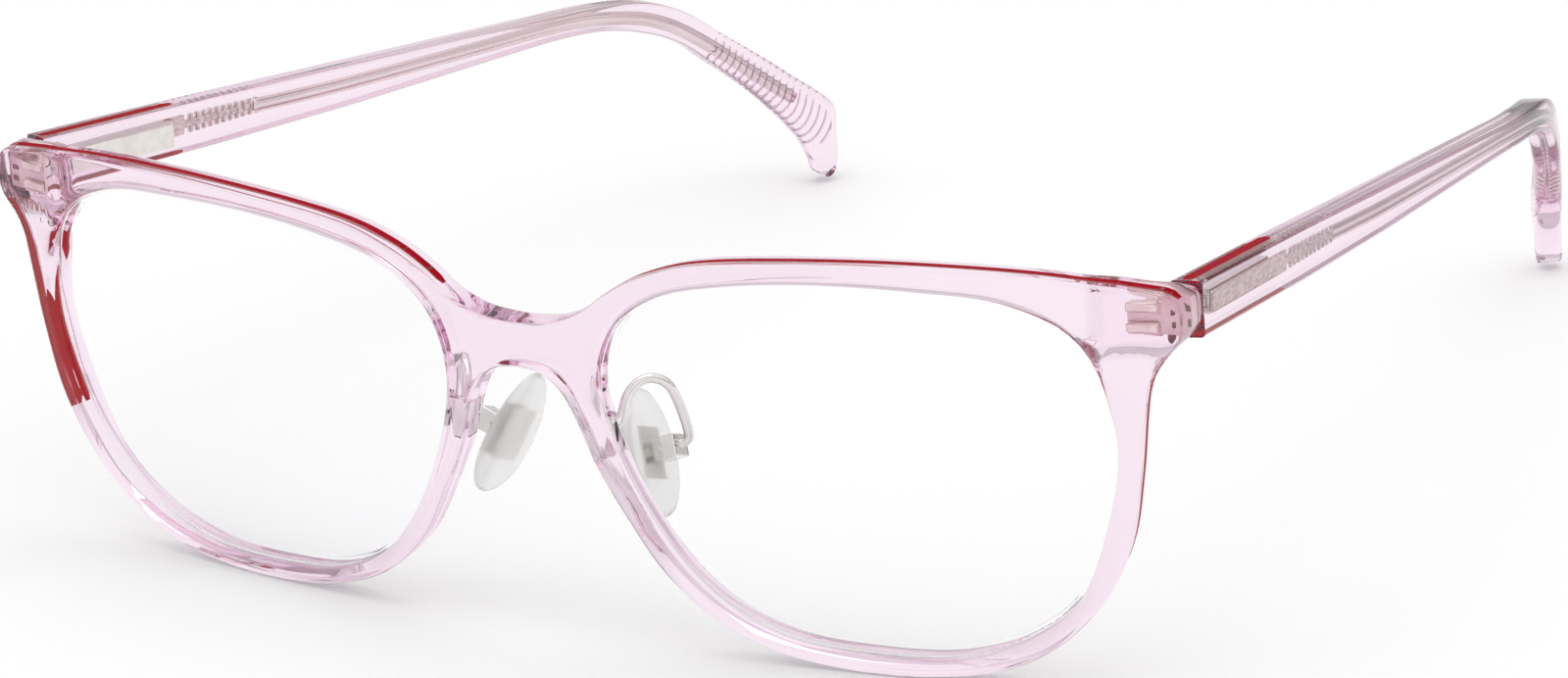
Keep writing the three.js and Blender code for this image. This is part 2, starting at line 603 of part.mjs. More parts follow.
function padArmPath() {
  const end = new THREE.Vector3(0, 0, 3).applyMatrix4(padFrame());
  const turn = new THREE.Vector3(0, 0.9, 4.2).applyMatrix4(padFrame());
  return new THREE.CatmullRomCurve3([
    new THREE.Vector3(8.5, RIM_DEPTH - 0.6, 1.2),
    new THREE.Vector3(8.5, RIM_DEPTH + 1.2, 1.9),
    new THREE.Vector3(8.9, 5.9, 4.2),
    new THREE.Vector3(10.2, 7.6, 5.2),
    new THREE.Vector3(11.6, 9.2, 3.6),
    new THREE.Vector3(turn.x, turn.y, turn.z),
    new THREE.Vector3(end.x, end.y, end.z),
  ], false, 'centripetal');
}

function padArmGeometry() {
  const wire = new THREE.ExtrudeGeometry(ring(PAD_WIRE_RADIUS, 8), {
    steps: 20, extrudePath: padArmPath(), curveSegments: 1,
  });
  const anchor = bendFront(block(7.9, 9.2, RIM_DEPTH - 1.2, RIM_DEPTH - 0.1, -1, 3.4));
  return join(anchor, wire, padBoxSolid());
}

// ---------------------------------------------------------------- assembly
const glasses = new THREE.Group();

function addMesh(name, geometry, colour) {
  const mesh = new THREE.Mesh(geometry, new THREE.MeshStandardMaterial(COLOURS[colour]));
  mesh.name = name;
  glasses.add(mesh);
}

function addPair(name, geometry, colour) {
  addMesh(`right_${name}`, geometry, colour);
  addMesh(`left_${name}`, mirrored(geometry), colour);
}

addMesh('frame_front', frontGeometry(), 'acetate');
addPair('lens', lensGeometry(), 'lens');
addPair('brow_line', paintedLine(browPoints()), 'line');
addPair('side_line', paintedLine(sidePoints()), 'line');
addPair('front_hinge', frontHingeGeometry(), 'nickel');
addPair('hinge_screw', hingeScrewGeometry(), 'nickel');
addPair('hinge_tongue', hingeTongueGeometry(), 'nickel');
addPair('hinge_spring', hingeSpringGeometry(), 'chrome');
addPair('spring_nut', springNutGeometry(), 'nickel');
addPair('hinge_box', hingeBoxGeometry(), 'nickel');
addPair('temple', templeGeometry(), 'acetate');
addPair('temple_core', templeCoreGeometry(), 'core');
addPair('temple_top_line', templeLine(GAP, LINE_DEPTH, 1), 'line');
addPair('temple_bottom_line', templeLine(GAP, LINE_DEPTH, -1), 'line');
addPair('pad_arm', padArmGeometry(), 'chrome');
addPair('pad_screw', padScrewGeometry(), 'nickel');
addPair('pad_lug', padLugGeometry(), 'nickel');
addPair('nose_pad', nosePadGeometry(), 'silicone');

// Stand the glasses on the table, centred over the origin.
glasses.rotation.x = TILT;
glasses.position.z = -TABLE;
glasses.updateMatrixWorld(true);
const standing = new THREE.Box3().setFromObject(glasses, true);
glasses.position.y = -(standing.min.y + standing.max.y) / 2;

export default glasses;
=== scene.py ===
import json
import math

import bpy
import numpy as np
from mathutils import Matrix, Vector


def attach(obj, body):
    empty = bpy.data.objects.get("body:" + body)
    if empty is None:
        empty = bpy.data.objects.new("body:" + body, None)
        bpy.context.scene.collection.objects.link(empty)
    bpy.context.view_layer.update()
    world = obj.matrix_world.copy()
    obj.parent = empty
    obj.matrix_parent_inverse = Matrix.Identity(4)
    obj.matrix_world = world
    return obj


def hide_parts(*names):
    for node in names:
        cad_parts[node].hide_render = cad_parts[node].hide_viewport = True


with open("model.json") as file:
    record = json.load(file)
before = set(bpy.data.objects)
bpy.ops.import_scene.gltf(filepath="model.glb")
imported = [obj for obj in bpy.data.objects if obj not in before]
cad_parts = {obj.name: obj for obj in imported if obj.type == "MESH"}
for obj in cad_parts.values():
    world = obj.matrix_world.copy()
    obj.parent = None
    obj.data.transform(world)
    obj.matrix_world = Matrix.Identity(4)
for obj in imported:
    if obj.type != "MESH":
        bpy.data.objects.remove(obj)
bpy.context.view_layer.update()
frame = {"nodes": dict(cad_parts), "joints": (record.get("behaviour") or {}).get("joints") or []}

# ------------------------------------------------------------------ dimensions, in millimetres
BASE = 245.0                 # base curve of the front
DEPTH = 3.2                  # thickness of the front
END_DEPTH = 4.85             # thickness of the end pieces
END_X = 58.0                 # the end pieces start here
EDGE = 0.42                  # rounding of the polished outer edges
CHAMFER = 0.75               # pale bevel round the front of each opening
LENS_X = 34.3                # lens centre
LENS_FRONT = 0.6             # depth of the front and the back of the lens
LENS_BACK = 2.6
GROOVE_Y = 1.6               # depth at which the lens groove lies in the rim
GROOVE = 0.3                 # how far it is cut into the rim
BRIDGE_TOP = 12.7            # heights of the bridge on the middle plane
BRIDGE_FOOT = 8.0
THICK = 3.0                  # temple thickness
OUTER_X = 67.4               # outer face of the temple at the front
MIDDLE_X = OUTER_X - THICK / 2
TEMPLE_EDGE = 0.4            # rounding of the temple's long edges
SPLAY = 0.09                 # slope of the temple towards the middle, which starts at SPLAY_Y
SPLAY_Y = 13.4
BEND_Y = 97.0                # from here the tail also curves towards the middle
BEND_RATE = 0.007
ARM_Y = 11.0                 # where the arm is drawn from, and the end of its adjusted head
HEAD_Y = 24.0
HEAD_GAP = 0.3               # gap between the arm and the back of the end piece
FALL = 0.18                  # downward slope of the hinge box and the core
HINGE = (63.4, 15.0, 16.3)   # middle of the right hinge screw
PROUD = 0.004                # how far the painted lines stand out of the polish

# ------------------------------------------------------------------ row frame
fold = next(j for j in frame["joints"] if j["name"] == "right_fold")
TILT = math.atan2(-fold["axis"][1], fold["axis"][2])
ROT = Matrix.Rotation(TILT, 4, "X")
SHIFT = Vector(fold["pos_m"]) * 1000 - ROT @ Vector(HINGE)
TO_ROW = Matrix.Scale(0.001, 4) @ Matrix.Translation(SHIFT) @ ROT
ROW = np.array(TO_ROW)


def to_row(points):
    points = np.asarray(points, float)
    out = points @ ROW[:3, :3].T + ROW[:3, 3]
    out[:, 2] = np.maximum(out[:, 2], 0.0)
    return out


# ------------------------------------------------------------------ curves
def catmull(points, count, closed=False):
    """Smooth curve through the points, with count steps between each two."""
    p = np.asarray(points, float)
    n = len(p)
    out = []
    for i in range(n if closed else n - 1):
        around = np.arange(i - 1, i + 3)
        a, b, c, d = p[around % n if closed else np.clip(around, 0, n - 1)]
        m0, m1 = (c - a) / 2, (d - b) / 2
        for t in np.arange(count) / count:
            out.append((2 * t**3 - 3 * t**2 + 1) * b + (t**3 - 2 * t**2 + t) * m0
                       + (-2 * t**3 + 3 * t**2) * c + (t**3 - t**2) * m1)
    if not closed:
        out.append(p[-1])
    return np.array(out)


def quadratic(a, b, c, count):
    """Bezier arc from a to c, without its first point."""
    t = (np.arange(1, count + 1) / count)[:, None]
    a, b, c = (np.asarray(v, float) for v in (a, b, c))
    return (1 - t) ** 2 * a + 2 * t * (1 - t) * b + t**2 * c


class Line:
    """A dense polyline that is read by its arc length."""

    def __init__(self, points):
        self.p = np.asarray(points, float)
        keep = np.r_[True, np.linalg.norm(np.diff(self.p, axis=0), axis=1) > 1e-6]
        self.p = self.p[keep]
        self.s = np.r_[0, np.cumsum(np.linalg.norm(np.diff(self.p, axis=0), axis=1))]
        self.length = self.s[-1]

    def at(self, s):
        return np.stack([np.interp(s, self.s, self.p[:, k]) for k in range(self.p.shape[1])], -1)

    def run(self, s, step=0.35):
        s = np.asarray(s, float)
        d = self.at(np.minimum(s + step, self.length)) - self.at(np.maximum(s - step, 0))
        return d / np.linalg.norm(d, axis=-1, keepdims=True)

    def near(self, point):
        return self.s[np.argmin(np.linalg.norm(self.p - np.asarray(point, float), axis=1))]


def outline():
    """Right half of the outline, from the top of the bridge over the brow to the bridge arch."""
    brow = catmull([(0, BRIDGE_TOP), (4.2, 13.1), (7.6, 14.5), (10.6, 16.7), (14.4, 18.7),
                    (20, 20.3), (29, 21.2), (41, 21.6), (54, 21.2), (65.2, 19.85)], 24)
    corner = [quadratic((65.2, 19.85), (67.3, 19.5), (67.4, 17.6), 14), [(67.4, 16.4)],
              quadratic((67.4, 16.4), (67.4, 14.9), (66.3, 14), 12),
              quadratic((66.3, 14), (64.6, 12.6), (64.2, 10.6), 14)]
    rest = catmull([(64.2, 10.6), (63.7, 7), (62.9, 1), (61.5, -5.6), (58.5, -11.5), (53.5, -16.7),
                    (47.6, -19.7), (40, -20.9), (33.5, -20.9), (26, -19.8), (19.4, -17.1),
                    (14, -12.3), (10.3, -6.3), (7.7, -1.3), (6.3, 2.6), (4.9, 5.6), (2.8, 7.5),
                    (0, BRIDGE_FOOT)], 24)
    return Line(np.vstack([brow, *corner, rest]))


def lens_line():
    """Opening for the right lens, clockwise seen from the front."""
    knots = [(26.1, 0), (26.3, 7.4), (23.6, 14.6), (17, 18.2), (8, 19.1), (-2, 19.2), (-11, 18.4),
             (-18.6, 16.6), (-23.8, 12.6), (-25.6, 6.6), (-24.2, -0.4), (-20.2, -8.7),
             (-15, -14.8), (-8.2, -18.1), (0, -19.1), (9, -18.8), (16.4, -16.2), (22.2, -10.9)]
    return catmull(knots, 24, closed=True)[::-1] + (LENS_X, 0)


OUTLINE = outline()
LENS = lens_line()


def smooth_step(t):
    t = np.clip(t, 0, 1)
    return t * t * (3 - 2 * t)


def bend_front(points):
    """Bends the flat drawing over the base curve; depth runs straight back in the end pieces."""
    x, depth, z = points.T
    square = 1 - smooth_step((np.abs(x) - END_X) / 4) * smooth_step((z - 9) / 4)
    lean = np.stack([-x * square / BASE, np.ones(len(points)), -z * square / BASE], -1)
    lean /= np.linalg.norm(lean, axis=1)[:, None]
    on = np.stack([x, (x**2 + z**2) / (2 * BASE), z], -1)
    return on + lean * depth[:, None]


# ------------------------------------------------------------------ meshes
def signed_volume(points, faces):
    total = 0.0
    for f in faces:
        a = points[f[0]]
        for i in range(1, len(f) - 1):
            total += a @ np.cross(points[f[i]], points[f[i + 1]])
    return total / 6


def mesh_object(name, points, faces, sharp):
    """Smooth-shaded object from a drawing in millimetres, with edges sharper than sharp degrees."""
    points = np.asarray(points, float)
    if signed_volume(points, faces) < 0:
        faces = [tuple(reversed(f)) for f in faces]
    mesh = bpy.data.meshes.new(name)
    mesh.from_pydata([tuple(p) for p in to_row(points)], [], [tuple(f) for f in faces])
    mesh.validate()
    mesh.shade_smooth()
    mesh.set_sharp_from_angle(angle=math.radians(sharp))
    obj = bpy.data.objects.new(name, mesh)
    bpy.context.scene.collection.objects.link(obj)
    return obj


def mirror(points, faces):
    points = np.array(points, float) * (-1, 1, 1)
    return points, [tuple(reversed(f)) for f in faces]


def weld(points, faces):
    """Joins equal points and drops faces that collapse and points that nothing uses."""
    keys = np.round(np.asarray(points, float), 5)
    unique, back = np.unique(keys, axis=0, return_inverse=True)
    back = back.reshape(-1)
    out = []
    for f in faces:
        g = []
        for i in f:
            k = int(back[i])
            if not g or g[-1] != k:
                g.append(k)
        if len(g) > 1 and g[0] == g[-1]:
            g.pop()
        if len(g) > 2:
            out.append(tuple(g))
    used = sorted({i for f in out for i in f})
    index = {old: new for new, old in enumerate(used)}
    return unique[used], [tuple(index[i] for i in f) for f in out]


def grid_faces(rows, columns):
    """Faces between rows of points, where each row is a closed ring."""
    faces = []
    for i in range(rows - 1):
        this, following = i * columns, (i + 1) * columns
        for j in range(columns):
            k = (j + 1) % columns
            faces.append((this + j, this + k, following + k, following + j))
    return faces


def add_faces(parts):
    """Joins several (points, faces) pairs into one."""
    points, faces, start = [], [], 0
    for p, f in parts:
        points.append(np.asarray(p, float))
        faces += [tuple(i + start for i in g) for g in f]
        start += len(p)
    return np.vstack(points), faces


def rounded_box(x, y, z, r):
    """Box with edges chamfered by r. x, y and z are (low, high)."""
    centre = np.array([(a + b) / 2 for a, b in (x, y, z)])
    half = np.array([(b - a) / 2 for a, b in (x, y, z)])
    points, index = [], {}
    for sx in (-1, 1):
        for sy in (-1, 1):
            for sz in (-1, 1):
                for k in range(3):
                    inset = np.full(3, r)
                    inset[k] = 0
                    index[sx, sy, sz, k] = len(points)
                    points.append(centre + np.array([sx, sy, sz]) * (half - inset))
    faces = []
    for k in range(3):
        a, b = [m for m in range(3) if m != k]
        for s in (-1, 1):
            face = []
            for u, v in ((-1, -1), (1, -1), (1, 1), (-1, 1)):
                key = [0, 0, 0]
                key[k], key[a], key[b] = s, u, v
                face.append(index[key[0], key[1], key[2], k])
            faces.append(face)
    for k in range(3):
        a, b = [m for m in range(3) if m != k]
        for u in (-1, 1):
            for v in (-1, 1):
                low, high = [0, 0, 0], [0, 0, 0]
                low[k], high[k] = -1, 1
                low[a] = high[a] = u
                low[b] = high[b] = v
                faces.append([index[(*low, a)], index[(*high, a)],
                              index[(*high, b)], index[(*low, b)]])
    for sx in (-1, 1):
        for sy in (-1, 1):
            for sz in (-1, 1):
                faces.append([index[sx, sy, sz, k] for k in range(3)])
    return orient(np.array(points), faces)


def orient(points, faces):
    """Turns the faces of a convex solid outwards."""
    middle = points.mean(0)
    out = []
    for f in faces:
        p = points[list(f)]
        normal = np.cross(p[1] - p[0], p[2] - p[0])
        out.append(tuple(f) if normal @ (p.mean(0) - middle) > 0 else tuple(reversed(f)))
    return points, out


def close_ends(faces, rows, count, centre):
    """Fans from the first and the last ring to the two points that start at centre."""
    last = (rows - 1) * count
    for j in range(count):
        k = (j + 1) % count
        faces.append((centre, k, j))
        faces.append((centre + 1, last + j, last + k))


DOME = 0.6                   # height of a wire's domed end, as a share of its radius
DOME_RINGS = ((0.6, 0.8), (0.9, 0.43))       # radius and height of its rings, as shares


def tube(path, radius, sides, squash=1.0):
    """Wire along a 3-D polyline, with domed ends; squash flattens it in one direction."""
    path = np.asarray(path, float)
    run = np.gradient(path, axis=0)
    run /= np.linalg.norm(run, axis=1)[:, None]
    ref = np.array([1.0, 0, 0])
    rings = []
    angles = 2 * math.pi * np.arange(sides) / sides
    for p, t in zip(path, run):
        ref = ref - t * (ref @ t)
        ref /= np.linalg.norm(ref)
        side = np.cross(t, ref)
        rings.append((p, t, ref.copy(), side))
    points, rows = [], 0
    first, last = rings[0], rings[-1]
    start = [(first, k, -d) for k, d in DOME_RINGS]
    end = [(last, k, d) for k, d in reversed(DOME_RINGS)]
    for (p, t, u, w), k, d in [*start, *[(r, 1.0, 0.0) for r in rings], *end]:
        for a in angles:
            spoke = u * math.cos(a) * squash + w * math.sin(a)
            points.append(p + t * d * radius * DOME + k * radius * spoke)
        rows += 1
    faces = grid_faces(rows, sides)
    close_ends(faces, rows, sides, len(points))
    points += [first[0] - first[1] * radius * DOME, last[0] + last[1] * radius * DOME]
    return np.array(points), faces


# ------------------------------------------------------------------ front
def back_depth(x, z):
    """Depth of the back of the front: the end pieces are thicker, with a ramp towards the lens."""
    rise = smooth_step((x - END_X) / 1.9) * smooth_step((z - 12.4) / 1.6)
    top = np.clip((20.05 - z) / 1.2, 0, 1)
    return DEPTH + (END_DEPTH - DEPTH) * rise * top


# Places on the outline, each with its place on the opening; sections join them round the rim.
RIM_PAIRS = [((0, BRIDGE_TOP), (10.1, 11.9)), ((7.6, 14.5), (12.1, 14.3)),
             ((14.4, 18.7), (17, 17.1)), ((29, 21.2), (30, 19.2)), ((54, 21.2), (51.6, 18.1)),
             ((65.4, 19.8), (58.6, 13.2)), ((67.4, 16.4), (60.0, 9.6)), ((64.2, 10.6), (60.6, 7)),
             ((62.9, 1), (60.4, 0)), ((53.5, -16.7), (51.5, -15.7)), ((33.5, -20.9), (33.5, -19.1)),
             ((19.4, -17.1), (20.9, -16)), ((10.3, -6.3), (12.4, -5)), ((6.9, 0.9), (9.4, 1.8)),
             ((4.9, 5.6), (8.7, 5.6)), ((0, BRIDGE_FOOT), (8.75, 8.6))]
RIM_STEP = 0.8               # about the step between two sections, at the wider end
BRIDGE_STEPS = 8             # sections that end on the middle plane of the bridge
FACE_POINTS = 11             # points across the front or the back of a section
EDGE_ARC = [math.radians(a) for a in (22, 45, 68)]
WALL_SHARES = (0, 1 / 3, 2 / 3, 1)
BACK_EDGE = 0.35             # rounding between the back and the wall of the opening
RIM_WALL = ((0.0, DEPTH - BACK_EDGE), (0.0, 2.25), (GROOVE, GROOVE_Y), (0.0, 1.0), (0.0, 0.55),
            (0.12, 0.35))    # how far the wall is cut into the rim, and at what depth
OVERLAP = 6                  # points of the opening repeated at each end, to read its direction


def rim_sections():
    """Ends of each section: inner and outer place with their normals, and the height of those on
    the middle plane, which is None for the others."""
    loop = Line(np.vstack([LENS, LENS[:1]]))
    start = loop.near(RIM_PAIRS[0][1])
    marks = [(OUTLINE.near(o), (loop.near(q) - start) % loop.length) for o, q in RIM_PAIRS]
    marks[0] = (0.0, marks[0][1])
    marks[-1] = (OUTLINE.length, marks[-1][1])
    outer_s, inner_s = [], []
    for (a0, b0), (a1, b1) in zip(marks[:-1], marks[1:]):
        count = max(4, int(max(a1 - a0, b1 - b0) / RIM_STEP))
        for t in np.arange(count) / count:
            outer_s.append(a0 + (a1 - a0) * t)
            inner_s.append(b0 + (b1 - b0) * t)
    outer_s.append(marks[-1][0])
    inner_s.append(marks[-1][1])
    last = len(outer_s) - 1
    heights = [None] * len(outer_s)
    for t in np.arange(1, BRIDGE_STEPS) / BRIDGE_STEPS:
        outer_s.append(0)
        inner_s.append(marks[-1][1] + (loop.length - marks[-1][1]) * t)
        heights.append(BRIDGE_FOOT + EDGE + (BRIDGE_TOP - BRIDGE_FOOT - 2 * EDGE) * t)
    s_in = (np.array(inner_s) + start) % loop.length
    wrapped = Line(np.vstack([LENS[-OVERLAP:], LENS, LENS[:OVERLAP]]))
    run = wrapped.run(s_in + wrapped.s[OVERLAP], 0.6)
    into = np.stack([run[:, 1], -run[:, 0]], -1)     # clockwise loop: the opening is on the right
    outer = OUTLINE.at(np.array(outer_s))
    outer_run = OUTLINE.run(np.array(outer_s), 0.5)
    out = np.stack([-outer_run[:, 1], outer_run[:, 0]], -1)
    out[0] = (0, 1)
    out[last] = (0, -1)
    out[last + 1:] = 0
    outer[last + 1:] = [(0, height) for height in heights[last + 1:]]
    return loop.at(s_in), into, outer, out, heights


def rim_section(inner, into, outer, out):
    """Closed section: front face, rounded outer edge, back face, and the wall with its groove."""
    row = []

    def put(place, y):
        row.append((place[0], y, place[1]))

    edge = outer - out * EDGE
    lip = inner - into * CHAMFER
    for t in np.arange(FACE_POINTS) / (FACE_POINTS - 1):
        put(lip + (edge - lip) * t, 0.0)
    for a in EDGE_ARC:
        put(outer - out * EDGE * (1 - math.sin(a)), EDGE * (1 - math.cos(a)))
    deep = back_depth(outer[0], outer[1])
    for t in WALL_SHARES:
        put(outer, EDGE + (deep - 2 * EDGE) * t)
    for a in reversed(EDGE_ARC):
        put(outer - out * EDGE * (1 - math.sin(a)), deep - EDGE * (1 - math.cos(a)))
    inside = inner - into * BACK_EDGE
    for t in np.arange(FACE_POINTS) / (FACE_POINTS - 1):
        place = edge + (inside - edge) * t
        put(place, back_depth(place[0], place[1]))
    put(inner - into * 0.1, back_depth(inner[0], inner[1]) - 0.1)
    for cut, y in RIM_WALL:
        put(inner - into * cut, y)
    return row


def front_half():
    *ends, heights = rim_sections()
    sections = [rim_section(*end) for end in zip(*ends)]
    rows, size = len(sections), len(sections[0])
    wall = range(FACE_POINTS - 1, FACE_POINTS + 2 * len(EDGE_ARC) + len(WALL_SHARES))
    faces = []
    for r in range(rows):
        q = (r + 1) % rows
        on_plane = heights[r] is not None or heights[q] is not None
        for c in range(size):
            if on_plane and c in wall:       # the other half joins on here
                continue
            d = (c + 1) % size
            faces.append((r * size + c, r * size + d, q * size + d, q * size + c))
    return np.array([p for section in sections for p in section]), faces


def front_mesh():
    points, faces = front_half()
    points[np.abs(points[:, 0]) < 1e-4, 0] = 0
    other, other_faces = mirror(points, faces)
    points, faces = weld(*add_faces([(points, faces), (other, other_faces)]))
    return bend_front(points), faces


# ------------------------------------------------------------------ temples
def bend_temple(points):
    """Bends a temple that is drawn straight back towards the middle."""
    points = np.array(points, float)
    past = np.maximum(0, points[:, 1] - BEND_Y)
    inward = SPLAY * (points[:, 1] - SPLAY_Y) + BEND_RATE * past**2
    angle = np.arctan(SPLAY + 2 * BEND_RATE * past)
    side = points[:, 0] - MIDDLE_X
    points[:, 0] = MIDDLE_X - inward + side * np.cos(angle)
    points[:, 1] += side * np.sin(angle)
    return points


def arm_top(y):
    return 19.9 - 0.195 * (y - ARM_Y)


def arm_foot(y):
    return 14.2 - 0.1845 * (y - ARM_Y)


def temple_lines():
    """Lower and upper edge of the temple seen from the side, both ending at the tip."""
    foot = np.vstack([[(ARM_Y, arm_foot(ARM_Y)), (40, arm_foot(40)), (62, 5.1)],
                      catmull([(84, 1.7), (99, -0.7), (108.2, -2.9), (115.9, -6.7), (121.6, -12.1),
                               (126.5, -17.7), (130.2, -23.1), (131.5, -26.2), (132, -28.2),
                               (133.1, -29.1)], 16)])
    top = np.vstack([[(ARM_Y, arm_top(ARM_Y)), (40, arm_top(40)), (62, 9.75)],
                     catmull([(84, 5.25), (98, 2.4), (105.8, 0.8), (112.6, -1), (117.8, -3.8),
                              (122.4, -8), (127.3, -12.5), (130.7, -16), (133.4, -18.8),
                              (134.9, -21), (134.8, -23.7), (134.7, -26.7), (134.1, -28.6),
                              (133.1, -29.1)], 16)])
    return Line(foot), Line(top)


GROOVES = 18                 # grooves across the tail, parallel arcs in the side view
GROOVE_START = np.array((122.26, -8.65))   # upper end of the first one
GROOVE_RUN = np.array((0.661, -0.750))     # direction from one to the next, and along them
GROOVE_UP = np.array((0.750, 0.661))
GROOVE_STEP = 1.021          # from one groove to the next
GROOVE_BOW = 0.42            # how far a groove bows towards the tip
GROOVE_WIDTH = 0.12
GROOVE_DEEP = 0.12
GROOVED_Y = 118.0            # there are none in front of this
TIP_EDGE = 0.8               # extra rounding of the edges, which grows over TIP_REACH
TIP_REACH = 8.0
TIP_DOME = 0.35              # the sides close in by this much over the last TIP_ROUND
TIP_ROUND = 1.6
SIDE_SHARES = np.sin(np.linspace(-1, 1, 31) * math.pi / 2)[1:-1]


def groove_cut(y, z):
    """Share of the full groove depth at a place on the side of the tail. Towards the tip the
    grooves grow a little longer and lean more."""
    from_start = np.array((y, z)) - GROOVE_START
    run, up = from_start @ GROOVE_RUN, from_start @ GROOVE_UP
    k = np.arange(GROOVES)
    top, foot = 0.04 * k, -2.45 - 0.035 * k
    t = (top - up) / (top - foot)
    line = GROOVE_STEP * k + t * (0.4 + 0.05 * k) + GROOVE_BOW * 4 * t * (1 - t)
    ends = smooth_step(t / 0.06) * smooth_step((1 - t) / 0.06)
    return float((ends * np.exp(-(((run - line) / GROOVE_WIDTH) ** 2))).sum())


# Places on the lower edge, each with its place on the upper edge, and the steps between them.
TEMPLE_PAIRS = [((40, arm_foot(40)), (40, arm_top(40))), ((62, 5.1), (62, 9.75)),
                ((84, 1.7), (84, 5.25)), ((99, -0.7), (98.6, 2.3)), ((108.2, -2.9), (109.4, 0)),
                ((115.9, -6.7), (118.8, -4.6)), ((121.6, -12.1), (124.6, -10)),
                ((126.5, -17.7), (130.7, -16)), ((130.2, -23.1), (134.5, -20.3)),
                ((131.5, -26.2), (134.75, -25.6)), ((132, -28.2), (134.4, -28.0))]
TEMPLE_STEPS = [1.0, 1.2, 1.2, 1.0, 0.8, 0.5, 0.14, 0.14, 0.14, 0.14, 0.2, 0.12]


def temple_sections():
    """Lower and upper end of each section, close together where the tail is grooved."""
    foot, top = temple_lines()
    marks = [(0, 0), *[(foot.near(a), top.near(b)) for a, b in TEMPLE_PAIRS],
             (foot.length, top.length)]
    low, high = [], []
    for (a0, b0), (a1, b1), step in zip(marks[:-1], marks[1:], TEMPLE_STEPS):
        count = max(3, int((a1 - a0 + b1 - b0) / 2 / step))
        for t in np.arange(count) / count:
            low.append(a0 + (a1 - a0) * t)
            high.append(b0 + (b1 - b0) * t)
    return foot.at(np.array(low)), top.at(np.array(high))


def temple_section(low, high, in_tail, from_tip):
    """Closed section with rounded edges, and the share of a groove's depth at each point, which
    paints shade into the grooves.
    """
    centre, half = (low + high) / 2, np.linalg.norm(high - low) / 2
    up = (high - low) / max(2 * half, 1e-6)
    r = min(TEMPLE_EDGE + TIP_EDGE * float(smooth_step(in_tail / TIP_REACH)), half * 0.85)
    closing = min(1, max(0, from_tip / TIP_ROUND + 1))
    inset = TIP_DOME * (1 - math.sqrt(1 - closing**2))
    inner_x, outer_x = OUTER_X - THICK + inset, OUTER_X - inset
    arc = [math.radians(t) for t in (0, 22, 45, 68, 90)]
    row, groove_shade_shares = [], []

    def put(x, h, cut=0.0):
        row.append((x, centre[0] + up[0] * h, centre[1] + up[1] * h))
        groove_shade_shares.append(cut / GROOVE_DEEP)

    def cut_at(v):
        spot = centre + up * v * (half - r)
        return GROOVE_DEEP * groove_cut(*spot) if spot[0] > GROOVED_Y else 0.0

    for v in SIDE_SHARES:
        put(inner_x + cut_at(v), v * (half - r), cut_at(v))
    for t in arc:
        put(inner_x + r * (1 - math.cos(t)), half - r + r * math.sin(t))
    for t in (0.33, 0.67):
        put(inner_x + r + (outer_x - inner_x - 2 * r) * t, half)
    for t in reversed(arc):
        put(outer_x - r * (1 - math.cos(t)), half - r + r * math.sin(t))
    for v in SIDE_SHARES[::-1]:
        put(outer_x - cut_at(v), v * (half - r), cut_at(v))
    for t in arc:
        put(outer_x - r * (1 - math.cos(t)), -(half - r + r * math.sin(t)))
    for t in (0.67, 0.33):
        put(inner_x + r + (outer_x - inner_x - 2 * r) * t, -half)
    for t in reversed(arc):
        put(inner_x + r * (1 - math.cos(t)), -(half - r + r * math.sin(t)))
    return row, groove_shade_shares


def fit_head(points):
    """Ends the head of the arm at the back of the end piece, without changing its slopes."""
    end = END_DEPTH + HEAD_GAP + (points[:, 0] ** 2 + points[:, 2] ** 2) / (2 * BASE)
    head = points[:, 1] < HEAD_Y
    y = points[:, 1]
    height = (points[:, 2] - arm_foot(y)) / (arm_top(y) - arm_foot(y))
    moved = end + (HEAD_Y - end) * (y - ARM_Y) / (HEAD_Y - ARM_Y)
    level = arm_foot(moved) + height * (arm_top(moved) - arm_foot(moved))
    points[head, 1:] = np.stack([moved, level], -1)[head]


def temple_mesh():
    """Right temple, and the share of a groove's depth at each of its points, which paints shade
    into the grooves.
    """
    low, high = temple_sections()
    middle_line = (low + high) / 2
    along = np.r_[0, np.cumsum(np.linalg.norm(np.diff(middle_line, axis=0), axis=1))]
    first = along[np.argmin(np.linalg.norm(middle_line - GROOVE_START, axis=1))]
    points, groove_shade_shares = [], []
    for a, b, s in zip(low, high, along):
        row, row_groove_shade_shares = temple_section(a, b, s - first, s - along[-1])
        points += row
        groove_shade_shares += row_groove_shade_shares
    points = np.array(points)
    fit_head(points)
    rows, count = len(low), len(row)
    last = (rows - 1) * count
    faces = [tuple(reversed(f)) for f in grid_faces(rows, count)]
    faces.append(tuple(range(count)))
    faces.append(tuple(reversed(range(last, last + count))))
    return (bend_temple(points), faces), groove_shade_shares


# ------------------------------------------------------------------ materials
def new_material(name):
    """Material with its nodes, its links and its Principled shader."""
    material = bpy.data.materials.new(name)
    material.use_nodes = True
    nodes, links = material.node_tree.nodes, material.node_tree.links
    shader = nodes["Principled BSDF"]
    return material, nodes, links, shader


def noise(nodes, links, scale, detail, stretch=None):
    """Noise in the object's own space; stretch scales each axis."""
    coords = nodes.new("ShaderNodeTexCoord")
    mapping = nodes.new("ShaderNodeMapping")
    if stretch:
        mapping.inputs["Scale"].default_value = stretch
    texture = nodes.new("ShaderNodeTexNoise")
    texture.inputs["Scale"].default_value = scale
    texture.inputs["Detail"].default_value = detail
    links.new(coords.outputs["Object"], mapping.inputs["Vector"])
    links.new(mapping.outputs["Vector"], texture.inputs["Vector"])
    return texture


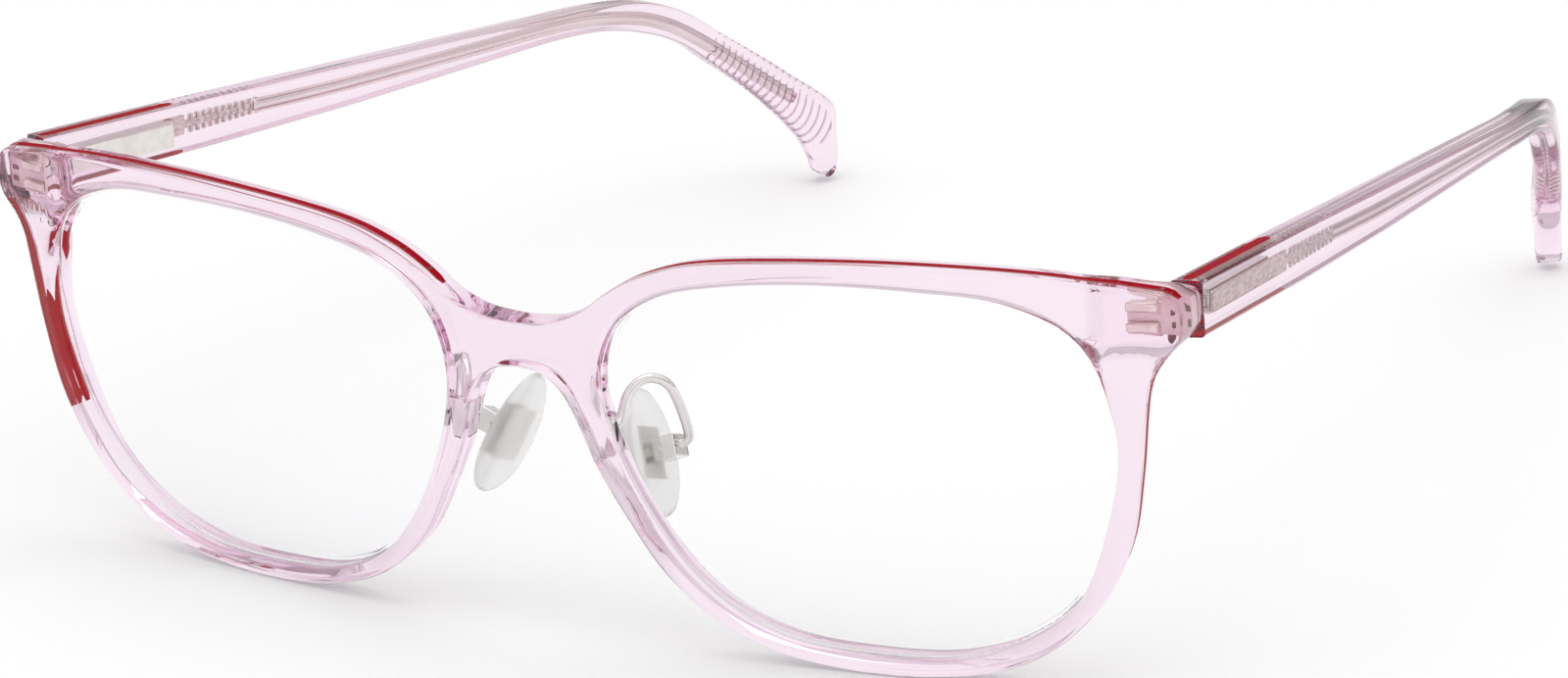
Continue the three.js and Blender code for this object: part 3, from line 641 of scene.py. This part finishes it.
def ramp(nodes, links, source, low, high):
    """Colour between low and high, led by a noise texture."""
    node = nodes.new("ShaderNodeValToRGB")
    node.color_ramp.elements[0].position = 0.35
    node.color_ramp.elements[1].position = 0.65
    node.color_ramp.elements[0].color = (*low, 1)
    node.color_ramp.elements[1].color = (*high, 1)
    links.new(source.outputs["Fac"], node.inputs["Fac"])
    return node


BUMP_HEIGHT = 0.0001         # metres


def bump(nodes, links, source, shader, strength):
    node = nodes.new("ShaderNodeBump")
    node.inputs["Strength"].default_value = strength
    node.inputs["Distance"].default_value = BUMP_HEIGHT
    links.new(source.outputs["Fac"], node.inputs["Height"])
    links.new(node.outputs["Normal"], shader.inputs["Normal"])


def acetate_material():
    """Clear acetate, pink in its depth, and darker where an attribute marks a groove: painted shade
    in the grooves.
    """
    material, nodes, links, shader = new_material("crystal_acetate")
    tone = noise(nodes, links, 60.0, 1.0)
    colour = ramp(nodes, links, tone, (0.965, 0.93, 0.955), (0.985, 0.95, 0.972))
    # painted shade: the grooves' colour is mixed towards dark purple, standing in for the shade and
    # reflections that darken them
    groove_shade = nodes.new("ShaderNodeAttribute")
    groove_shade.attribute_name = "groove_shade"
    blend = nodes.new("ShaderNodeMix")
    blend.data_type = "RGBA"
    plain = next(i for i in blend.inputs if i.identifier == "A_Color")
    groove_shade_colour = next(i for i in blend.inputs if i.identifier == "B_Color")
    groove_shade_colour.default_value = (0.30, 0.06, 0.20, 1)
    blended = next(o for o in blend.outputs if o.identifier == "Result_Color")
    links.new(groove_shade.outputs["Fac"], blend.inputs["Factor"])
    links.new(colour.outputs["Color"], plain)
    links.new(blended, shader.inputs["Base Color"])
    shader.inputs["Transmission Weight"].default_value = 1.0
    shader.inputs["Roughness"].default_value = 0.015
    shader.inputs["IOR"].default_value = 1.49
    absorb = nodes.new("ShaderNodeVolumeAbsorption")
    absorb.inputs["Color"].default_value = (0.783, 0.233, 0.60, 1)
    absorb.inputs["Density"].default_value = 60.0
    links.new(absorb.outputs["Volume"], nodes["Material Output"].inputs["Volume"])
    return material


def lens_material():
    material, nodes, links, shader = new_material("clear_lens")
    tone = noise(nodes, links, 20.0, 1.0)
    colour = ramp(nodes, links, tone, (0.985, 0.99, 1.0), (1.0, 1.0, 1.0))
    links.new(colour.outputs["Color"], shader.inputs["Base Color"])
    shader.inputs["Transmission Weight"].default_value = 1.0
    shader.inputs["Roughness"].default_value = 0.0
    shader.inputs["IOR"].default_value = 1.06
    return material


def metal_material(name, low, high, roughness, scale, stretch=None, strength=0.1):
    material, nodes, links, shader = new_material(name)
    grain = noise(nodes, links, scale, 3.0, stretch)
    colour = ramp(nodes, links, grain, low, high)
    links.new(colour.outputs["Color"], shader.inputs["Base Color"])
    shader.inputs["Metallic"].default_value = 1.0
    shader.inputs["Roughness"].default_value = roughness
    bump(nodes, links, grain, shader, strength)
    return material


def paint_material(name, low, high):
    material, nodes, links, shader = new_material(name)
    tone = noise(nodes, links, 900.0, 3.0)
    colour = ramp(nodes, links, tone, low, high)
    links.new(colour.outputs["Color"], shader.inputs["Base Color"])
    shader.inputs["Roughness"].default_value = 0.5
    shader.inputs["Specular IOR Level"].default_value = 0.02
    return material


def silicone_material():
    material, nodes, links, shader = new_material("milky_silicone")
    cloud = noise(nodes, links, 320.0, 2.0)
    colour = ramp(nodes, links, cloud, (0.97, 0.97, 0.97), (0.995, 0.995, 0.99))
    links.new(colour.outputs["Color"], shader.inputs["Base Color"])
    shader.inputs["Transmission Weight"].default_value = 0.65
    shader.inputs["Roughness"].default_value = 0.18
    shader.inputs["IOR"].default_value = 1.2
    bump(nodes, links, cloud, shader, 0.05)
    return material


ACETATE = acetate_material()
CLEAR = lens_material()
NICKEL = metal_material("polished_nickel", (0.72, 0.69, 0.65), (0.80, 0.77, 0.73), 0.10, 900.0,
                        strength=0.02)
BAR = metal_material("cream_nickel", (0.78, 0.72, 0.64), (0.90, 0.86, 0.79), 0.24, 900.0)
PLATE = metal_material("rosy_plate", (0.80, 0.68, 0.66), (0.92, 0.82, 0.79), 0.34, 2600.0,
                       stretch=(1, 3, 3), strength=0.35)
SATIN = metal_material("satin_core", (0.62, 0.53, 0.51), (0.94, 0.86, 0.83), 0.32, 3200.0,
                       stretch=(1, 0.35, 1), strength=0.4)
WIRE = metal_material("rolled_wire", (0.78, 0.72, 0.69), (0.86, 0.81, 0.78), 0.16, 260.0,
                      stretch=(1, 0.1, 1), strength=0.02)
CHROME = metal_material("bright_wire", (0.72, 0.70, 0.69), (0.84, 0.82, 0.81), 0.08, 300.0,
                        strength=0.03)
PAINT = paint_material("painted_line", (0.30, 0.0006, 0.008), (0.36, 0.0015, 0.012))
# painted light: the same red paint made lighter on its sides in the acetate, standing in for light
# that reaches them through the acetate
UNDERSIDE_PAINTED_LIGHT = paint_material("painted_line_underside_painted_light",       # the paint's sides in the acetate
                           (0.68, 0.001, 0.012), (0.78, 0.002, 0.018))
SILICONE = silicone_material()


# ------------------------------------------------------------------ pieces
def add_piece(name, shape, body, nodes, material, sharp):
    obj = mesh_object(name, *shape, sharp)
    obj.data.materials.append(material)
    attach(obj, body)
    if nodes:
        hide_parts(*nodes)
    return obj


def add_pair(name, shape, body, nodes, material, sharp):
    """The right piece and its mirror image on the left."""
    made = []
    for side, half in (("right", shape), ("left", mirror(*shape))):
        members = [f"{side}_{n}" for n in nodes]
        who = body if body == "front" else f"{side}_{body}"
        made.append(add_piece(f"{side}_{name}", half, who, members, material, sharp))
    return made


STRIP_SIDES = 6              # sides of a painted line, of which these lie in the acetate
BURIED_SIDES = (2, 3, 4)
STRIP_THICK = 0.3
STRIP_BEVEL = 0.08
STRIP_DEPTH = 1.62           # how far a line in the front lies behind its face


def strip_faces(rows):
    faces = grid_faces(rows, STRIP_SIDES)
    faces.append(tuple(range(STRIP_SIDES)))
    faces.append(tuple(reversed(range((rows - 1) * STRIP_SIDES, rows * STRIP_SIDES))))
    return faces


def edge_strip(start, end):
    """Painted line in the edge of the front, between two places on the outline."""
    start, end = OUTLINE.near(start), OUTLINE.near(end)
    half = 0.45
    s = np.linspace(start, end, max(8, int((end - start) / RIM_STEP)))
    run = OUTLINE.run(s, 0.5)
    out = np.stack([-run[:, 1], run[:, 0]], -1)
    section = ((0, -half + STRIP_BEVEL), (0, half - STRIP_BEVEL), (STRIP_BEVEL, half),
               (STRIP_THICK, half), (STRIP_THICK, -half), (STRIP_BEVEL, -half))
    points = []
    for k, (place, normal) in enumerate(zip(OUTLINE.at(s), out)):
        grow = 0.55 if k in (0, len(s) - 1) else 1.0
        for d, y in section:
            v = place + normal * (PROUD - d)
            points.append((v[0], STRIP_DEPTH + y * grow, v[1]))
    return bend_front(np.array(points)), strip_faces(len(s))


def temple_strip(level, edge):
    """Painted line in the top (edge 1) or bottom (edge -1) of the temple."""
    steps, first, last, half = 24, 15.2, 35.2, 0.65
    middle = MIDDLE_X - 0.2
    section = ((-half + STRIP_BEVEL, 0), (half - STRIP_BEVEL, 0), (half, STRIP_BEVEL),
               (half, STRIP_THICK), (-half, STRIP_THICK), (-half, STRIP_BEVEL))
    points = []
    for k in range(steps + 1):
        y = first + (last - first) * k / steps
        z = level(y) + edge * PROUD
        grow = 0.5 if k in (0, steps) else 1.0
        for x, d in section:
            points.append((middle + x * grow, y, z - edge * d))
    return bend_temple(np.array(points)), strip_faces(steps + 1)


def lens_mesh():
    """Clear lens with a bevelled edge that sits in the groove of the rim."""
    loop = Line(np.vstack([LENS, LENS[:1]]))
    count, rings, inset = 160, 9, 0.3
    base = loop.at(loop.length * np.arange(count) / count)
    wrapped = np.vstack([base[-1:], base, base[:1]])
    run = wrapped[2:] - wrapped[:-2]
    run /= np.linalg.norm(run, axis=1)[:, None]
    into = np.stack([run[:, 1], -run[:, 0]], -1)
    middle = base.mean(0)
    spokes = base + into * inset - middle
    rows = [(middle + spokes * k, LENS_FRONT) for k in np.arange(1, rings) / rings]
    for d, y in ((inset, 0.62), (inset, 0.9), (-0.12, GROOVE_Y), (inset, 2.3), (inset, 2.58)):
        rows.append((base + into * d, y))
    rows += [(middle + spokes * k, LENS_BACK) for k in np.arange(rings - 1, 0, -1) / rings]
    points = [(q[0], y, q[1]) for ring, y in rows for q in ring]
    faces = grid_faces(len(rows), count)
    close_ends(faces, len(rows), count, len(points))
    points += [(middle[0], LENS_FRONT, middle[1]), (middle[0], LENS_BACK, middle[1])]
    return bend_front(np.array(points)), faces


# ------------------------------------------------------------------ hinge and core
def along_temple(points):
    """Pieces drawn along +Y from the hinge axis, swung to the line of the temple."""
    fall, splay = math.atan(FALL), math.atan(SPLAY)
    swing = Matrix.Rotation(splay, 4, "Z") @ Matrix.Rotation(-fall, 4, "X")
    turn = np.array(Matrix.Translation(Vector(HINGE)) @ swing)
    return points @ turn[:3, :3].T + turn[:3, 3]


TEETH = 11
BOX_POINTS = 24              # points of one rounded_box
CORE_HEAD_POINTS = (2 + TEETH) * BOX_POINTS    # points of the plate, the spine and the teeth


def core_mesh():
    """Plate under the hinge box, toothed stretch, and the long bright wire in the acetate."""
    x = (2.15, 2.95)
    head = [rounded_box(x, (2.6, 21.4), (-1.05, 1.05), 0.12),
            rounded_box(x, (21.2, 33.7), (-0.42, 0.42), 0.1)]
    for k in range(TEETH):
        y = 22.3 + 1.06 * k
        tall = 1.02 - 0.016 * k
        head.append(rounded_box(x, (y, y + 0.52), (-tall, tall), 0.09))
    points, faces = add_faces(head)
    start = HINGE[1] + 32.4
    flat = catmull([(start, HINGE[2] - FALL * (start - HINGE[1])), (62, 7.5), (84, 3.5), (99, 0.8),
                    (107, -1.1), (113.9, -3.7), (120.0, -8.2), (130.2, -18.4)], 14)
    wire = bend_temple(np.array([(MIDDLE_X, y, z) for y, z in flat]))
    head = (along_temple(points), faces)
    return add_faces([head, tube(wire, radius=0.78, sides=20, squash=0.52)])


def hinge_bars():
    """Bright bars of the hinge foot, let into the end piece."""
    z_bars = ((17.25, 18.15), (15.25, 16.15))
    y = (END_DEPTH - 1.9, END_DEPTH - 1.2)
    points, faces = add_faces([rounded_box((61.4, 64.25), y, z, 0.1) for z in z_bars])
    return bend_front(points), faces


# ------------------------------------------------------------------ nose pads
# Axes of the right pad: across it, along it, and out of its flat back.
PAD_UP = Vector((-0.35, 0.42, 0.84)).normalized()
PAD_BACK = Vector((0.06, 0.9, -0.43))
PAD_BACK = (PAD_BACK - PAD_UP * PAD_BACK.dot(PAD_UP)).normalized()
PAD_OUT = PAD_BACK.cross(PAD_UP).normalized()
PAD = np.array(Matrix((PAD_BACK, PAD_UP, PAD_OUT)).transposed())
PAD_CENTRE = np.array((8.6, 9.6, -3.7))


def on_pad(points):
    return np.asarray(points, float) @ PAD.T + PAD_CENTRE


def pad_mesh():
    """Soft pad: an egg-shaped dome with a nearly flat back and a rolled rim."""
    count, half_width, half_length, taper, dome = 64, 4.05, 6.5, 0.10, 1.75
    angles = 2 * math.pi * np.arange(count) / count
    rim = [(half_width * math.cos(a) * (1 - taper * math.sin(a)), half_length * math.sin(a))
           for a in angles]
    slopes = np.radians(np.linspace(8, 90, 12))
    profile = [(math.sin(a), -0.55 - dome * math.cos(a)) for a in slopes]
    profile += [(1.0, -0.4), (0.985, -0.2), (0.95, -0.07), (0.88, 0.0), (0.6, 0.0), (0.3, 0.0)]
    points = [(u * k, v * k, z) for k, z in profile for u, v in rim]
    faces = grid_faces(len(profile), count)
    close_ends(faces, len(profile), count, len(points))
    points += [(0, 0, -0.55 - dome), (0, 0, 0)]
    return on_pad(points), faces


def pad_arm_mesh():
    """Looped wire from the anchor in the rim to the small box that holds the pad."""
    box_end, box_mouth = on_pad([(0, 0.9, 4.2), (0, 0, 3.0)])
    path = [(8.5, DEPTH - 0.6, 1.2), (8.5, DEPTH + 1.2, 1.9), (8.9, 5.9, 4.2), (10.2, 7.6, 5.2),
            (11.6, 9.2, 3.6), box_end, box_mouth]
    wire = tube(catmull(path, 9), radius=0.5, sides=16)
    anchor, anchor_faces = rounded_box((7.9, 9.2), (DEPTH - 1.2, DEPTH - 0.1), (-1.0, 3.4), 0.15)
    walls = [rounded_box((-1.2, -0.82), (-1.1, 1.1), (0.6, 3.1), 0.07),
             rounded_box((0.82, 1.2), (-1.1, 1.1), (0.6, 3.1), 0.07),
             rounded_box((-1.15, 1.15), (0.74, 1.1), (0.62, 3.08), 0.07),
             rounded_box((-1.15, 1.15), (-1.1, -0.74), (0.62, 3.08), 0.07),
             rounded_box((-1.15, 1.15), (-1.05, 1.05), (2.72, 3.1), 0.07)]
    box, box_faces = add_faces(walls)
    return add_faces([wire, (bend_front(anchor), anchor_faces), (on_pad(box), box_faces)])


# ------------------------------------------------------------------ the object
add_piece("front_acetate", front_mesh(), "front", ["frame_front"], ACETATE, sharp=40)
temple_shape, temple_groove_shade_shares = temple_mesh()
temples = add_pair("temple_acetate", temple_shape, "arm", ["temple"], ACETATE, sharp=50)
for obj in temples:
    # painted shade: the groove depth shares darken the acetate's colour in the grooves
    groove_shade = obj.data.attributes.new("groove_shade", "FLOAT", "POINT")
    groove_shade.data.foreach_set("value", temple_groove_shade_shares)
add_pair("lens_clear", lens_mesh(), "front", ["lens"], CLEAR, sharp=40)
STRIPES = [
    ("brow_stripe", edge_strip((8.6, 15.3), (67.0, 18.9)), "front", "brow_line"),
    ("side_stripe", edge_strip((66.2, 13.9), (60.8, -7.4)), "front", "side_line"),
    ("temple_top_stripe", temple_strip(arm_top, 1), "arm", "temple_top_line"),
    ("temple_bottom_stripe", temple_strip(arm_foot, -1), "arm", "temple_bottom_line"),
]
for name, shape, body, node in STRIPES:
    for obj in add_pair(name, shape, body, [node], PAINT, sharp=40):
        obj.data.materials.append(UNDERSIDE_PAINTED_LIGHT)
        for polygon in obj.data.polygons:
            # the sides in the acetate take the lighter copy of the paint, which is painted light
            polygon.material_index = int(polygon.index % STRIP_SIDES in BURIED_SIDES)
for obj in add_pair("core", core_mesh(), "arm", ["temple_core"], SATIN, sharp=35):
    obj.data.materials.append(WIRE)
    for polygon in obj.data.polygons:
        polygon.material_index = int(polygon.vertices[0] >= CORE_HEAD_POINTS)
add_pair("hinge_bars", hinge_bars(), "front", [], BAR, sharp=35)
add_pair("pad_soft", pad_mesh(), "pad", ["nose_pad"], SILICONE, sharp=60)
add_pair("pad_wire", pad_arm_mesh(), "front", ["pad_arm"], CHROME, sharp=35)

CAD_LOOKS = {"front_hinge": PLATE, "hinge_screw": NICKEL, "hinge_tongue": NICKEL,
             "hinge_spring": CHROME, "spring_nut": NICKEL, "hinge_box": NICKEL,
             "pad_screw": NICKEL, "pad_lug": NICKEL}
for name, obj in frame["nodes"].items():
    look = next((m for key, m in CAD_LOOKS.items() if name.endswith(key)), None)
    if look and not obj.hide_render:
        obj.data.materials.clear()
        obj.data.materials.append(look)


# ------------------------------------------------------------------ camera
VIEW = (32.4619, 22.6705, -6.0949)           # azimuth, elevation and roll in degrees
VIEW_FROM = (356.428, -512.425, 268.576)     # place of the camera in the drawing's millimetres
FOCAL = 161.57925                            # for a sensor 36 mm wide
LENS_SHIFT = (0.001704375, 0.000246875)      # as shares of the picture's width


def photo_camera():
    azimuth, elevation, roll = (math.radians(a) for a in VIEW)
    right = Vector((math.cos(azimuth), math.sin(azimuth), 0))
    back = Vector((math.sin(azimuth) * math.cos(elevation),
                   -math.cos(azimuth) * math.cos(elevation), math.sin(elevation)))
    up = back.cross(right)
    across = math.cos(roll) * right + math.sin(roll) * up
    above = -math.sin(roll) * right + math.cos(roll) * up
    place = Matrix((across, above, back)).transposed().to_4x4()
    place.translation = Vector(VIEW_FROM)
    world = Matrix.Translation(SHIFT) @ ROT @ place
    world.translation *= 0.001
    data = bpy.data.cameras.new("photo_camera")
    data.sensor_width = 36
    data.lens = FOCAL
    data.shift_x, data.shift_y = LENS_SHIFT
    data.dof.use_dof = False
    data.clip_start = 0.01
    data.clip_end = 20
    camera = bpy.data.objects.new("photo_camera", data)
    bpy.context.scene.collection.objects.link(camera)
    camera.matrix_world = world
    bpy.context.scene.camera = camera


# ------------------------------------------------------------------ stage
def plain_material(name, low, high):
    material, nodes, links, shader = new_material(name)
    tone = noise(nodes, links, 4.0, 1.0)
    colour = ramp(nodes, links, tone, low, high)
    links.new(colour.outputs["Color"], shader.inputs["Base Color"])
    shader.inputs["Roughness"].default_value = 0.9
    shader.inputs["Specular IOR Level"].default_value = 0.0
    return material


def stage_plane(name, size, place, look_at, material):
    """Plane at a place in metres, turned towards look_at, or flat on the floor without one."""
    mesh = bpy.data.meshes.new(name)
    w, h = size[0] / 2, size[1] / 2
    mesh.from_pydata([(-w, -h, 0), (w, -h, 0), (w, h, 0), (-w, h, 0)], [], [(0, 1, 2, 3)])
    obj = bpy.data.objects.new(name, mesh)
    bpy.context.scene.collection.objects.link(obj)
    obj.location = place
    if look_at is not None:
        obj.rotation_euler = (Vector(look_at) - Vector(place)).to_track_quat("Z", "Y").to_euler()
    mesh.materials.append(material)


def soft_light(name, place, size, power):
    data = bpy.data.lights.new(name, "AREA")
    data.shape = "RECTANGLE"
    data.size, data.size_y = size
    data.energy = power
    lamp = bpy.data.objects.new(name, data)
    bpy.context.scene.collection.objects.link(lamp)
    lamp.location = place
    lamp.rotation_euler = (-Vector(place)).to_track_quat("-Z", "Y").to_euler()


def build_stage():
    floor = plain_material("pale_floor", (0.955, 0.955, 0.955), (0.965, 0.965, 0.965))
    card = plain_material("grey_card", (0.42, 0.38, 0.41), (0.46, 0.42, 0.45))
    stage_plane("floor", (8, 8), (0, 0, -0.0002), None, floor)
    stage_plane("side_card", (0.5, 0.5), (-0.75, 0.25, 0.25), (0, 0, 0.02), card)
    stage_plane("back_card", (0.7, 0.3), (0.1, 0.9, 0.22), (0, 0, 0.02), card)
    soft_light("overhead", (0.1, -0.1, 1.0), (0.9, 0.9), 1.5)


def pale_world():
    """White overhead, fading to pale grey at the horizon and below."""
    world = bpy.data.worlds.new("studio")
    bpy.context.scene.world = world
    world.use_nodes = True
    nodes, links = world.node_tree.nodes, world.node_tree.links
    back = nodes["Background"]
    coords = nodes.new("ShaderNodeTexCoord")
    split = nodes.new("ShaderNodeSeparateXYZ")
    band = nodes.new("ShaderNodeValToRGB")
    band.color_ramp.elements[0].position = 0.0
    band.color_ramp.elements[0].color = (0.62, 0.60, 0.61, 1)
    band.color_ramp.elements[1].position = 0.6
    band.color_ramp.elements[1].color = (1, 1, 1, 1)
    links.new(coords.outputs["Generated"], split.inputs["Vector"])
    links.new(split.outputs["Z"], band.inputs["Fac"])
    links.new(band.outputs["Color"], back.inputs["Color"])
    back.inputs["Strength"].default_value = 1.03


photo_camera()
build_stage()
pale_world()

scene = bpy.context.scene
scene.view_settings.view_transform = "Standard"
scene.view_settings.look = "None"
scene.cycles.max_bounces = 24
scene.cycles.transmission_bounces = 20
scene.cycles.glossy_bounces = 8
scene.cycles.diffuse_bounces = 4
scene.cycles.caustics_reflective = True
scene.cycles.caustics_refractive = True
